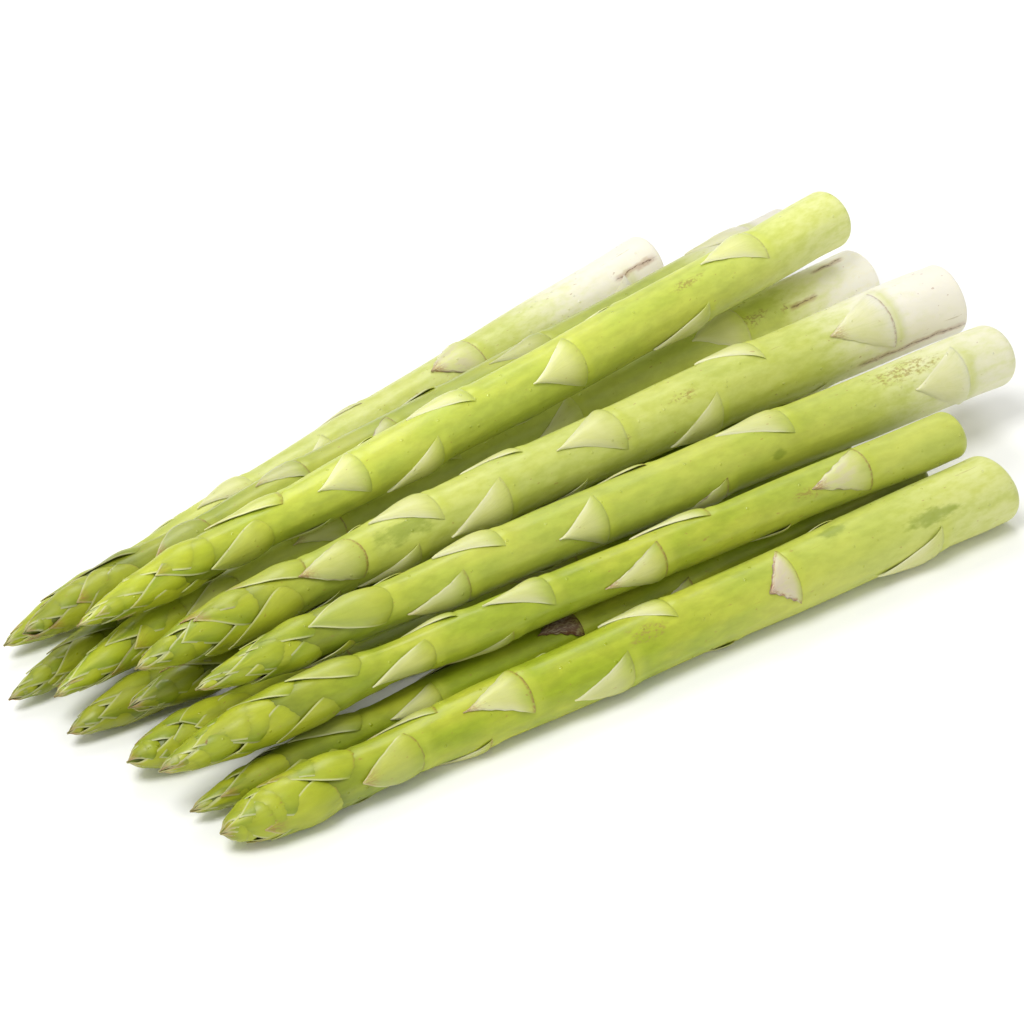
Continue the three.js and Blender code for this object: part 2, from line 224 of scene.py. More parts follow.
def settle(spear, laid):
    """Rests a spear on the two stations, one on each side of its middle, whose line holds it highest."""
    t = np.linspace(0, 1, SAMPLES)
    place = centre_at(spear, t)
    radius = outer_radius(spear, t)
    lowest = radius - FLOOR_FLAT
    for other in laid:
        points, radii = other.stations
        flat = ((place[:, None, :2] - points[None, :, :2]) ** 2).sum(-1)
        room = (radius[:, None] + radii[None, :] + SPEAR_GAP) ** 2 - flat
        top = np.where(room > 0, points[None, :, 2] + np.sqrt(np.maximum(room, 0)), 0)
        lowest = np.maximum(lowest, top.max(axis=1))
    need = lowest - own_height(spear, t)
    middle = (radius ** 2 * t).sum() / (radius ** 2).sum()
    near = t <= middle
    slope = (need[~near][None, :] - need[near][:, None]) / (t[~near][None, :] - t[near][:, None])
    level = need[near][:, None] + slope * (middle - t[near][:, None])
    best = np.unravel_index(np.argmax(level), level.shape)
    spear.low = level[best] - slope[best] * middle
    spear.high = level[best] + slope[best] * (1 - middle)
    spear.stations = (centre_at(spear, t), radius)


def cross_frame(spear, t):
    ahead = centre_at(spear, np.minimum(1, t + DIRECTION_STEP))
    along = ahead - centre_at(spear, np.maximum(0, t - DIRECTION_STEP))
    along /= np.linalg.norm(along, axis=-1, keepdims=True)
    side = np.cross((0, 0, 1), along)
    side /= np.linalg.norm(side, axis=-1, keepdims=True)
    return side, np.cross(along, side)


PRESS_ROUNDS = 8          # steps in which a point is pressed back from the next spear
PRESS_SHARE = 0.6         # share of the excess that each step takes off
PRESS_ENOUGH = 0.01       # excess that may stay


def room_round(spear, points):
    """Distance from each point to the skin of the nearest other spear."""
    room = np.full(len(points), np.inf)
    for other in SPEARS:
        if other is spear:
            continue
        start = centre_at(other, np.array(0.0))
        reach = centre_at(other, np.array(1.0)) - start
        t = np.clip((points - start) @ reach / (reach @ reach), 0, 1)
        gap = np.linalg.norm(points - centre_at(other, t), axis=1) - outer_radius(other, t)
        room = np.minimum(room, gap)
    return room


def skin_points(spear, t, angle, height):
    """Points at angles in radians and heights over the core, pressed back where the next spear lies."""
    inside = np.clip(t, 0, 1)
    over = (t - inside) / DIRECTION_STEP
    end_step = centre_at(spear, np.array(1.0)) - centre_at(spear, np.array(1 - DIRECTION_STEP))
    middle = centre_at(spear, inside) + over[:, None] * end_step
    side, up = cross_frame(spear, inside)
    direction = side * np.cos(angle)[:, None] + up * np.sin(angle)[:, None]
    outer = outer_radius(spear, inside)
    radius = core_radius(spear, inside) + height
    todo = np.arange(len(t))
    for _ in range(PRESS_ROUNDS):
        points = middle[todo] + direction[todo] * radius[todo, None]
        excess = radius[todo] - outer[todo] - room_round(spear, points) + SKIN_GAP
        radius[todo] -= PRESS_SHARE * np.maximum(excess, 0)
        todo = todo[excess > PRESS_ENOUGH]
        if len(todo) == 0:
            break
    return middle + direction * np.maximum(radius, LEAST_RADIUS)[:, None]


# Meshes


class Sheets:
    """Collects point grids and their surface data, to be joined in one mesh.

    The data are vectors that the skin's material reads:
    place   distance from the tip and from the cut end in decimetres, paleness
    grain   a place in the straightened spear or on the flattened leaf
    leaf    1 on a scale leaf, the way from its foot to its point, distance from its edge
    mood    wear, how far a leaf belongs to the head or how much painted shade the head's core gets on the stem, zone of the stem
    skin    tone, with painted shade where it is below 1 on spears that lie low in the heap, ridge under a leaf's foot
    flaw    place across and along the nearest mark, in half sizes
    mark    strength of a crack, a scuff and a bruise
    """

    def __init__(self):
        self.points = []
        self.faces = []
        self.data = {key: [] for key in ("place", "grain", "leaf", "mood", "skin", "flaw", "mark")}
        self.count = 0

    def add(self, points, faces, **data):
        self.points.append(points)
        self.faces.append(faces + self.count)
        for key, values in data.items():
            self.data[key].append(values)
        self.count += len(points)


def grid_faces(rows, columns, closed=False, flip=False):
    """Quads of a grid of points numbered row by row; closed joins its last column to its first."""
    row = np.arange(rows - 1)[:, None]
    column = np.arange(columns if closed else columns - 1)[None, :]
    following = (column + 1) % columns
    a = row * columns + column
    b = row * columns + following
    faces = np.stack([a, b, b + columns, a + columns], axis=-1).reshape(-1, 4)
    return faces[:, ::-1] if flip else faces


def cap_faces(first, count, flip=False):
    """Quads that close a small ring of an even number of points."""
    odd = np.arange(1, count - 1, 2)
    faces = np.stack([0 * odd, odd, odd + 1, odd + 2], axis=-1) + first
    return faces[:, ::-1] if flip else faces


def grain_of(spear, t, angle, height):
    """A place in the spear as if it were straight, for streaks that run along it."""
    radius = core_radius(spear, np.clip(t, 0, 1)) + height
    return np.stack([np.cos(angle) * radius, np.sin(angle) * radius, t * plan_length(spear)], axis=-1)


WAN_START = 0.35          # where a wan stem begins, as a share of the head from its tip


def place_of(spear, t):
    """Distance from the tip and from the cut end in decimetres, and how pale the skin is there."""
    length = plan_length(spear)
    from_butt = np.clip(t, 0, 1) * length
    from_tip = length - from_butt
    end = spear.pale * (1 - smooth(from_butt / spear.pale_reach))
    whole = spear.wan * smooth((1 - np.clip(t, 0, 1)) / spear.head_share - WAN_START)
    return np.stack([from_tip / DECIMETRE, from_butt / DECIMETRE, np.maximum(end, whole)], axis=-1)


def turn_apart(angle, turn):
    """Degrees from a turn to angles in radians, the shorter way round."""
    return (np.degrees(angle) - turn + 180) % 360 - 180


# Marks on the stems


@dataclass
class Mark:
    spear: str
    from_tip: float         # distance of its middle from the tip
    turn: float             # place round the spear
    half_length: float
    half_width: float
    kind: int


# The kinds of mark, numbered by their place in the mark data
CRACK = 0
SCUFF = 1
BRUISE = 2
MARKS = (
    Mark("spear_a", 180, 92, 6, 3, BRUISE),
    Mark("spear_a", 207, 42, 12, 3, BRUISE),
    Mark("spear_a", 120, 60, 9, 3, SCUFF),
    Mark("spear_c", 172, 16, 3, 2, BRUISE),
    Mark("spear_c", 217, 76, 15, 4, SCUFF),
    Mark("spear_d", 170, 60, 6, 2, SCUFF),
    Mark("spear_d", 149, 36, 2, 1.5, SCUFF),
    Mark("spear_d", 80, 54, 12, 4, BRUISE),
    Mark("spear_d", 244, -14, 22, 1.6, CRACK),
    Mark("spear_i", 234, 56, 8, 2.5, SCUFF),
    Mark("spear_i", 251, 44, 6, 1.4, CRACK),
    Mark("spear_i", 266, 95, 7, 1.4, CRACK),
    Mark("spear_g", 222, 52, 9, 1.6, CRACK),
    Mark("spear_b", 185, 40, 8, 2, SCUFF),
    Mark("spear_e", 200, 70, 9, 2, SCUFF),
)
MARK_REACH = 1.6          # how far out a mark may show, in half sizes
MARK_FADE = 0.3           # and over how much of that it fades


def marks_at(spear, t, angle):
    """The place in the nearest mark, as shares of its half sizes, and how strongly each kind is there."""
    nearest = np.full(len(t), np.inf)
    place = np.zeros((len(t), 3))
    kinds = np.zeros((len(t), 3))
    for mark in MARKS:
        if mark.spear != spear.name:
            continue
        apart = np.radians(turn_apart(angle, mark.turn))
        across = apart * outer_radius(spear, np.clip(t, 0, 1)) / mark.half_width
        along = ((1 - t) * plan_length(spear) - mark.from_tip) / mark.half_length
        gap = np.hypot(across, along)
        closer = gap < nearest
        nearest[closer] = gap[closer]
        place[closer, 0] = across[closer]
        place[closer, 1] = along[closer]
        kinds[closer] = 0
        kinds[closer, mark.kind] = smooth((MARK_REACH - gap[closer]) / MARK_FADE)
    return place, kinds


# The stem

RIDGE_HEIGHT = 0.42       # of the soft ridge under a scale leaf's foot
RIDGE_PLACE = 0.6         # how far it lies below that foot
RIDGE_REACH = 1.8         # how far it spreads along the stem
RIDGE_HALF_ANGLE = 62     # and round it
RIDGE_FLAT = 0.4          # share of that angle over which it keeps its height
RIM_RINGS = 6
CUT_RINGS = 7
CUT_DISH = 0.5            # how hollow the cut face is
CUT_SLANT = 0.16          # how far the cut may lean, as a rise over the width
CUT_SLANT_LEAST = 0.3     # and the least share of that
CUT_SLANT_REACH = 12      # length of stem that takes up the lean
STEM_WAVE = 0.16          # height of the stem's unevenness
LONG_WAVE = 9             # its waves, in radians over the length of a spear
SHORT_WAVE = 23
STEM_FLUTE = 0.05         # height of the fine ribs
FLUTES = 11
FLUTE_DRIFT = 3           # how far the ribs wander round the stem
FLUTE_WAVE = 4
EVEN_END = 0.01           # the stem is even up to here, as a share of the spear
EVEN_FADE = 0.04
CORE_LIFT = 0.8           # how much fuller the head's core is than in the solids
CORE_LIFT_START = 1.2     # where that begins, as a share of the head from its tip
TIP_CLOSING = 8           # length over which it ends at the tip
TIP_SUNK = 0.9            # how far the last ring closes, as a share of the tip's radius
CORE_SHADE_NEAR = 0.3      # the head's core gets painted shade from the tip to this share of the head
CORE_SHADE_FAR = 0.75      # and none from this one on
ON_RIM = 1.0              # zones of the stem, with the cut face below the first
ON_BODY = 2.0


def ridge_at(spear, t, angle, places):
    """How much of the ridge under a scale leaf's foot is at each point, from 0 to 1."""
    from_tip = (1 - t) * plan_length(spear)
    ridge = np.zeros(len(t))
    for foot, turn, size in places:
        if size < 1:
            continue
        apart = np.abs(turn_apart(angle, turn)) / RIDGE_HALF_ANGLE
        along = np.exp(-((from_tip - foot - RIDGE_PLACE) / RIDGE_REACH) ** 2)
        ridge = np.maximum(ridge, along * (1 - smooth(apart - RIDGE_FLAT)))
    return ridge


def stem_rings(spear):
    """Rings from the middle of the cut face to the tip: their places, heights over the core and zones."""
    length = plan_length(spear)
    flat = 1 - spear.rim / spear.butt_radius
    rings = []
    for share in flat * np.linspace(0, 1, CUT_RINGS, endpoint=False):
        rings.append((CUT_DISH * (1 - share ** 2) / length, (share - 1) * spear.butt_radius, share))
    for a in np.linspace(0, math.pi / 2, RIM_RINGS, endpoint=False)[::-1]:
        rings.append((spear.rim * (1 - math.sin(a)) / length, spear.rim * (math.cos(a) - 1), ON_RIM))
    for t in np.linspace(spear.rim / length, 1, int(length / STEM_STEP))[1:-1]:
        rings.append((t, 0.0, ON_BODY))
    rings.append((1.0, -TIP_SUNK * TIP_RADIUS, ON_BODY))
    return np.array(rings)


def stem_sheet(spear, sheets, chance):
    """Adds the stem with the head's core, closed at both ends."""
    length = plan_length(spear)
    rings = stem_rings(spear)
    t, height, zone = (np.repeat(values, STEM_SIDES) for values in rings.T)
    angle = np.tile(np.linspace(0, 2 * math.pi, STEM_SIDES, endpoint=False), len(rings))

    phase = chance.uniform(0, 2 * math.pi, 4)
    long_wave = np.sin(t * LONG_WAVE + phase[0]) * np.cos(2 * angle + phase[1])
    short_wave = np.sin(t * SHORT_WAVE + phase[2] + angle)
    flute = np.sin(FLUTES * angle + phase[3] + FLUTE_DRIFT * np.sin(FLUTE_WAVE * t))
    uneven = smooth((t - EVEN_END) / EVEN_FADE) * (zone > ON_RIM)
    height = height + uneven * (STEM_WAVE * (long_wave + short_wave) + STEM_FLUTE * flute)
    fuller = smooth((t - 1 + CORE_LIFT_START * spear.head_share) / spear.head_share)
    fuller = fuller * smooth((1 - t) * length / TIP_CLOSING)
    height = height + CORE_LIFT * fuller
    ridge = ridge_at(spear, t, angle, leaf_places(spear)) * uneven * (1 - fuller)
    height = height + RIDGE_HEIGHT * ridge

    lean = chance.uniform(CUT_SLANT_LEAST, 1) * CUT_SLANT * spear.butt_radius / length
    lean = lean * (1 + np.cos(angle + phase[1]))
    t = t + lean * np.clip(1 - t * length / CUT_SLANT_REACH, 0, 1)

    faces = np.concatenate([
        grid_faces(len(rings), STEM_SIDES, closed=True),
        cap_faces(0, STEM_SIDES, flip=True),
        cap_faces(STEM_SIDES * (len(rings) - 1), STEM_SIDES)])
    blank = np.zeros(len(t))
    # Painted shade on the head's core, strongest at the tip, so that the gaps between the head's leaves
    # look dark
    core_shade_place = ((1 - t) / spear.head_share - CORE_SHADE_NEAR) / (CORE_SHADE_FAR - CORE_SHADE_NEAR)
    flaw, mark = marks_at(spear, t, angle)
    sheets.add(
        skin_points(spear, t, angle, height), faces,
        place=place_of(spear, t),
        grain=grain_of(spear, t, angle, height),
        leaf=np.stack([blank, blank, blank], axis=-1),
        mood=np.stack([blank, 1 - smooth(core_shade_place), zone], axis=-1),
        skin=np.stack([blank + spear.tone, ridge, blank], axis=-1),
        flaw=flaw, mark=mark)


# The scale leaves

BUD_LEAF_FIRST = 4        # the smaller leaves that close the head: the topmost one's foot
BUD_LEAF_STEP = 2.2
BUD_LEAF_STEP_GROWTH = 0.03
BUD_LEAF_TURN = 70
BUD_LEAF_SIZE = 0.95
HEAD_LEAF_STRETCH = 1.4
LENGTH_SCATTER = 0.16
LEAF_OVERHANG = 0.1       # how far a leaf may reach past the tip
STEM_HALF_ANGLE = 60      # half a leaf's width, round the spear
HEAD_HALF_ANGLE = 70
WIDTH_SCATTER = 0.12
STEM_OUTLINE = 1.08       # powers that shape a leaf's outline
HEAD_OUTLINE = 1.5
OUTLINE_SCATTER = 0.2
LEAST_OUTLINE = 0.02
LEAF_RIPPLE = 0.05        # ripples of the outline: their height, waves and scatter
RIPPLE_WAVES = 9
RIPPLE_SCATTER = 6
RAGGED = 0.12             # the same for a worn leaf's tatters
RAGGED_WAVES = 31
RAGGED_SCATTER = 9
LEAF_SKEW = 16            # how far a leaf's point may lean to one side
STEM_FOOT_CURVE = 0.03    # how far the ends of a leaf's foot ride up, as a share of its length
HEAD_FOOT_CURVE = 0.16
LEAF_RELIEF = 0.95        # a stem leaf's height over the core
CROWN_FALL = 0.5          # power by which that height falls towards the point
LEAF_TIP_HEIGHT = 0.5
STEM_SHOULDER = 0.17      # share of its length over which it rises from its foot
LEAF_FOOT_SUNK = 0.15
LEAF_EDGE = 0.24          # height of its edge
EDGE_SCATTER = 0.5
EDGE_WAVES_ALONG = 5
EDGE_WAVES_ACROSS = 3
FOOT_EDGE_SHARE = 0.65    # height of its edge at the foot, as a share of the relief
FOOT_EDGE_REACH = 0.45
ARCH_POWER = 2.4          # how squarely a leaf arches from edge to edge
BUD_PLACE = 0.33          # the bulge of the bud under a leaf: its place, spread and height
BUD_SPREAD = 0.2
STEM_BUD = 0.25
HEAD_BUD = 0.45
BUD_SCATTER = 0.5
HEAD_FLOOR = 0.62         # how high a head leaf's middle lies, as a share of its point
HEAD_RISE = 0.4           # share of its length over which it rises from its foot
HEAD_FULLNESS = 1.5       # power by which it rises to its point
HEAD_PROUD = 0.45         # how far its point stands over the head's outer form
HEAD_CLOSING = 2.5        # length over which the leaves close at the tip
HEAD_EDGE_DROP = 0.35
LOOSE_SHARE = 0.6         # how much of a loose head's lift each leaf has
LOOSE_SCATTER = 0.5
LOOSE_POWER = 3
THICKNESS_MIDDLE = 0.55
THICKNESS_EDGE = 0.15
POINT_THINNING = 0.6
VEIN_SPAN = 6             # a leaf's width in the grain
GRAIN_SCATTER = 40

# Leaves that are torn or withered in life: the spear, the distance from its tip, and how badly.
# One of 1 is torn short, and one well over 1 is dead.
WORN_LEAVES = (
    ("spear_a", 170, 1.0), ("spear_a", 81, 0.6), ("spear_a", 58, 0.5),
    ("spear_b", 206, 0.8), ("spear_b", 141, 0.6),
    ("spear_c", 247, 0.6), ("spear_c", 151, 0.8),
    ("spear_d", 231, 0.5),
    ("spear_f", 121, 0.8),
    ("spear_g", 164, 0.8),
    ("spear_i", 216, 0.8),
    ("spear_j", 120, 1.6),
)
WORN_REACH = 9            # how near to that distance a leaf's foot has to be
MOST_WEAR = 0.75          # of the other leaves
WEAR_POWER = 1.5          # above 1, most of them are little worn
TORN_START = 0.8          # the wear at which a leaf begins to be torn short
TORN_SHARE = 0.4          # and the share of its length that a torn one lacks


def wear_of(spear, places, chance):
    """How worn each leaf is, from 0 to 1."""
    wear = MOST_WEAR * chance.uniform(0, 1, len(places)) ** WEAR_POWER
    for name, from_tip, amount in WORN_LEAVES:
        if name == spear.name:
            near = np.abs(places[:, 0] - from_tip) < WORN_REACH
            wear = np.where(near, amount, wear)
    return wear


def leaf_places(spear):
    """Foot distance from the tip, angle and size: the solids' leaves, then the small ones of the head."""
    length = plan_length(spear)
    random = seeded_random(spear.seed)
    foot = FIRST_LEAF
    angle = spear.turn
    places = []
    while foot < length - LEAF_FOOT_CLEAR:
        places.append((foot, angle, 1.0))
        step = spear.spacing * (LEAF_STEP + LEAF_STEP_GROWTH * foot)
        step *= 1 + LEAF_STEP_SCATTER * (random() - 0.5)
        foot += step
        angle += LEAF_TURN + LEAF_TURN_SCATTER * (random() - 0.5)
    foot = BUD_LEAF_FIRST
    angle = spear.turn + BUD_LEAF_TURN
    while foot < HEAD_LEAF_NEAR * spear.head_share * length:
        places.append((foot, angle, BUD_LEAF_SIZE))
        foot += BUD_LEAF_STEP + BUD_LEAF_STEP_GROWTH * foot
        angle += LEAF_TURN
    return np.array(places)


def leaf_sheets(spear, sheets, chance):
    """Adds the scale leaves as thin shells. Arrays go by leaf, by row to its point and by column across."""
    length = plan_length(spear)
    places = leaf_places(spear)
    count = len(places)
    foot, angle, size = (places[:, i, None, None] for i in range(3))
    u = (np.linspace(0, 1, LEAF_ROW_COUNT) ** ROW_CROWDING)[None, :, None]
    v = np.sin(np.linspace(-math.pi / 2, math.pi / 2, LEAF_COLUMN_COUNT))[None, None, :]
    wide = np.abs(v)
    dice = chance.uniform(-1, 1, (count, 6))
    ripple, skew, growth, breadth, trim, own = (dice[:, i, None, None] for i in range(6))
    wear = wear_of(spear, places, chance)[:, None, None]

    # How long each leaf is
    from_tip = foot / (spear.head_share * length)
    in_head = 1 - smooth((from_tip - HEAD_LEAF_NEAR) / (HEAD_LEAF_FAR - HEAD_LEAF_NEAR))
    leaf_length = size * (LEAF_LENGTH_TIP + LEAF_LENGTH_GAIN * (1 - np.exp(-foot / LEAF_LENGTH_REACH)))
    leaf_length = leaf_length * lerp(1, HEAD_LEAF_STRETCH, in_head) * (1 + LENGTH_SCATTER * growth)
    leaf_length = leaf_length * (1 - TORN_SHARE * smooth((wear - TORN_START) / (1 - TORN_START)))
    leaf_length = np.minimum(leaf_length, foot + LEAF_OVERHANG)

    # Its outline on the spear
    half_angle = lerp(STEM_HALF_ANGLE, HEAD_HALF_ANGLE, in_head) * (1 + WIDTH_SCATTER * breadth)
    pointed = (1 - u) ** (STEM_OUTLINE + OUTLINE_SCATTER * trim)
    ovate = 1 - u ** HEAD_OUTLINE
    outline = np.maximum(lerp(pointed, ovate, in_head), LEAST_OUTLINE)
    outline = outline * (1 + LEAF_RIPPLE * np.sin(RIPPLE_WAVES * u + RIPPLE_SCATTER * ripple) * u)
    tatters = np.sin(RAGGED_WAVES * u + RAGGED_SCATTER * skew) * u
    outline = outline * (1 + RAGGED * wear * (1 - in_head) * tatters)
    turn = angle + v * half_angle * outline + LEAF_SKEW * skew * u ** 2
    foot_curve = lerp(STEM_FOOT_CURVE, HEAD_FOOT_CURVE, in_head)
    along = leaf_length * (u + foot_curve * wide ** 2 * (1 - u))
    heel = 1 - foot / length
    t = np.minimum(heel + along / length, 1 + LEAF_OVERHANG / length)

    # How high a stem leaf lies over the core
    slender = np.minimum(1, core_radius(spear, heel) / (SLENDER_SHARE * spear.neck_radius))
    relief = LEAF_RELIEF * slender * lerp(1, HEAD_LEAF_RELIEF, in_head)
    ramp = pillow(u / STEM_SHOULDER)
    bud = lerp(STEM_BUD, HEAD_BUD, in_head) * slender * (1 + BUD_SCATTER * growth)
    belly = bud * np.exp(-((u - BUD_PLACE) / BUD_SPREAD) ** 2)
    crown = relief * (1 - u) ** CROWN_FALL + LEAF_TIP_HEIGHT * slender * u + belly
    edge = 1 + EDGE_SCATTER * trim * np.sin(EDGE_WAVES_ALONG * u + EDGE_WAVES_ACROSS * v)
    edge = lerp(FOOT_EDGE_SHARE * relief, LEAF_EDGE * edge, smooth(u / FOOT_EDGE_REACH))
    arch = 1 - wide ** ARCH_POWER
    stem_top = ramp * lerp(edge, crown, arch)

    # How high a head leaf lies, and both together
    inside = np.clip(t, 0, 1)
    full = outer_radius(spear, inside) - core_radius(spear, inside) + HEAD_PROUD * slender
    head_crown = full * lerp(HEAD_FLOOR * pillow(u / HEAD_RISE), 1, u ** HEAD_FULLNESS) + belly
    head_top = head_crown - HEAD_EDGE_DROP * slender * (1 - arch) * (1 - u)
    closing = smooth((1 - t) * length / HEAD_CLOSING)
    lift = spear.loose * (LOOSE_SHARE + LOOSE_SCATTER * breadth) * u ** LOOSE_POWER
    top = lerp(stem_top, (head_top + lift) * closing, in_head) - LEAF_FOOT_SUNK * (1 - ramp)
    thick = lerp(THICKNESS_EDGE, THICKNESS_MIDDLE, arch * (1 - POINT_THINNING * u))

    # Both faces of the shell
    t, turn, thick = (np.broadcast_to(values, top.shape) for values in (t, turn, thick))
    flat_t = np.stack([t, t], axis=1).ravel()
    flat_turn = np.radians(np.stack([turn, turn], axis=1).ravel())
    height = np.stack([top, top - thick], axis=1).ravel()
    per_leaf = LEAF_ROW_COUNT * LEAF_COLUMN_COUNT
    one = closed_sheet_faces(LEAF_ROW_COUNT, LEAF_COLUMN_COUNT)
    faces = (one[None] + 2 * per_leaf * np.arange(count)[:, None, None]).reshape(-1, 4)
    both = (count, 2, LEAF_ROW_COUNT, LEAF_COLUMN_COUNT)

    def spread(values):
        return np.broadcast_to(np.asarray(values)[:, None], both).ravel()

    ones = np.ones((count, 1, 1))
    blank = np.zeros(len(flat_t))
    half_width = np.radians(half_angle * outline) * (core_radius(spear, inside) + top)
    edge_distance = np.minimum((1 - wide) * half_width, (1 - u) * leaf_length)
    sheets.add(
        skin_points(spear, flat_t, flat_turn, height), faces,
        place=place_of(spear, flat_t),
        grain=np.stack([spread(VEIN_SPAN * ones * v), spread(GRAIN_SCATTER * own), spread(along)], axis=-1),
        leaf=np.stack([spread(ones), spread(ones * u), spread(edge_distance)], axis=-1),
        mood=np.stack([spread(wear), spread(in_head), ON_BODY * spread(ones)], axis=-1),
        skin=np.stack([blank + spear.tone, blank, blank], axis=-1),
        flaw=np.zeros((len(flat_t), 3)), mark=np.zeros((len(flat_t), 3)))


def closed_sheet_faces(rows, columns):
    """Faces of a thin shell whose upper grid of points is followed by its lower one."""
    top = grid_faces(rows, columns)
    below = rows * columns
    bottom = grid_faces(rows, columns, flip=True) + below
    ring = list(range(columns))
    ring += [row * columns + columns - 1 for row in range(1, rows)]
    ring += [(rows - 1) * columns + column for column in range(columns - 2, -1, -1)]
    ring += [row * columns for row in range(rows - 2, 0, -1)]
    a = np.array(ring)
    b = np.roll(a, -1)
    wall = np.stack([b, a, a + below, b + below], axis=-1)
    return np.concatenate([top, bottom, wall])


def join_sheets(name, sheets, shift):
    points = np.concatenate(sheets.points) + shift
    points[:, 2] = np.maximum(points[:, 2], 0)
    faces = np.concatenate(sheets.faces)
    mesh = bpy.data.meshes.new(name)
    mesh.from_pydata((points * METRES).tolist(), [], faces.tolist())
    mesh.validate()
    for key, values in sheets.data.items():
        layer = mesh.attributes.new(key, "FLOAT_VECTOR", "POINT")
        layer.data.foreach_set("vector", np.concatenate(values).astype(np.float32).ravel())
    mesh.shade_smooth()
    mesh.set_sharp_from_angle(angle=math.radians(SHARP_ANGLE))
    piece = bpy.data.objects.new(name, mesh)
    bpy.context.scene.collection.objects.link(piece)
    return piece


# Materials


def linear(code):
    """A colour written as six hexadecimal sRGB digits, as linear values with full opacity."""
    parts = [int(code[i:i + 2], 16) / 255 for i in (0, 2, 4)]
    return [c / 12.92 if c <= 0.04045 else ((c + 0.055) / 1.055) ** 2.4 for c in parts] + [1.0]


class Recipe:
    """A node material, written as a chain of calls."""

    def __init__(self, name):
        self.material = bpy.data.materials.new(name)
        self.material.use_nodes = True
        self.tree = self.material.node_tree
        self.surface = self.tree.nodes["Principled BSDF"]

    def set(self, socket, value):
        if isinstance(value, bpy.types.NodeSocket):
            self.tree.links.new(value, socket)
        else:
            socket.default_value = value

    def node(self, kind, inputs, **settings):
        made = self.tree.nodes.new(kind)
        for key, value in settings.items():
            setattr(made, key, value)
        for key, value in inputs.items():
            self.set(made.inputs[key], value)
        return made

    def data(self, name):
        attribute = self.node("ShaderNodeAttribute", {}, attribute_name=name)
        parts = self.node("ShaderNodeSeparateXYZ", {0: attribute.outputs["Vector"]})
        return attribute.outputs["Vector"], *parts.outputs

    def math(self, operation, a, b=0.0, third=0.0, clamp=False):
        inputs = {0: a, 1: b, 2: third}
        return self.node("ShaderNodeMath", inputs, operation=operation, use_clamp=clamp).outputs[0]

    def step(self, value, low, high, start=0.0, end=1.0):
        """Goes smoothly from start to end while value goes from low to high."""
        inputs = {"Value": value, "From Min": low, "From Max": high, "To Min": start, "To Max": end}
        return self.node("ShaderNodeMapRange", inputs, interpolation_type="SMOOTHSTEP").outputs["Result"]

    def scaled(self, vector, scale):
        return self.node("ShaderNodeVectorMath", {0: vector, 1: scale}, operation="MULTIPLY").outputs[0]

    def noise(self, vector, scale, detail):
        inputs = {
            "Vector": self.scaled(vector, scale), "Scale": 1.0,
            "Detail": detail, "Roughness": NOISE_ROUGHNESS}
        return self.node("ShaderNodeTexNoise", inputs).outputs["Fac"]

    def mix(self, share, a, b):
        made = self.node("ShaderNodeMix", {}, data_type="RGBA")
        self.set(made.inputs["Factor"], share)
        self.set(made.inputs[6], a)
        self.set(made.inputs[7], b)
        return made.outputs[2]

    def tint(self, colour, value):
        """The colour, made lighter or darker by a factor."""
        made = self.node("ShaderNodeVectorMath", {0: colour, "Scale": value}, operation="SCALE")
        return made.outputs[0]

    def times(self, *values):
        product = values[0]
        for value in values[1:]:
            product = self.math("MULTIPLY", product, value)
        return product


STEM_GREEN = linear("9cad20")
STEM_YELLOW = linear("b9c038")
HEAD_GREEN = linear("889a1e")
HEAD_YELLOW = linear("b0b82a")
# The dark green of the head's core is painted shade between the head's leaves
CORE_SHADE_GREEN = linear("5a6618")
WAN_GREEN = linear("d2d874")
BUTT_CREAM = linear("f3eedd")
RIDGE_GREEN = linear("c3cc4a")
LEAF_PALE = linear("e0dea0")
LEAF_MARGIN = linear("ebe8c2")
RUST = linear("a0683c")
DARK_RUST = linear("5e3c24")
SCUFF_BROWN = linear("a08a42")
BRUISE_GREEN = linear("6f8418")
SILVER = linear("cdbfa8")
CUT_FLESH = linear("e0dfae")

# Noises in the grain: their scales across, across and along it, per millimetre, and their detail
NOISE_ROUGHNESS = 0.55
NOISES = {
    "streak": ((1.3, 1.3, 0.04), 2),
    "fine": ((4.0, 4.0, 0.12), 2),
    "patch": ((0.09, 0.09, 0.035), 2),
    "mottle": ((0.5, 0.5, 0.22), 4),
    "rough": ((1.6, 1.6, 0.9), 3),
    "speck": ((1.1, 1.1, 0.5), 1),
    "strand": ((1.6, 1.6, 0.0), 1),
}

# Shares of colours laid over others
# The first share sets how strongly the head's core takes its painted shade
CORE_SHADE_SHARE = 0.8
WAN_GAIN = 1.6
RIDGE_SHARE = 0.5
DRY_SHARE = 0.85
RUST_POINT_SHARE = 0.85
CREASE_SHARE = 0.65
TORN_SILVER_SHARE = 0.6
TORN_RUST_SHARE = 0.8
RUST_EDGE_SHARE = 0.7
BRUISE_SHARE = 0.5
SCUFF_SHARE = 0.4
MARK_WOBBLE = 1.6         # how far mottling moves the edges of marks, in half sizes

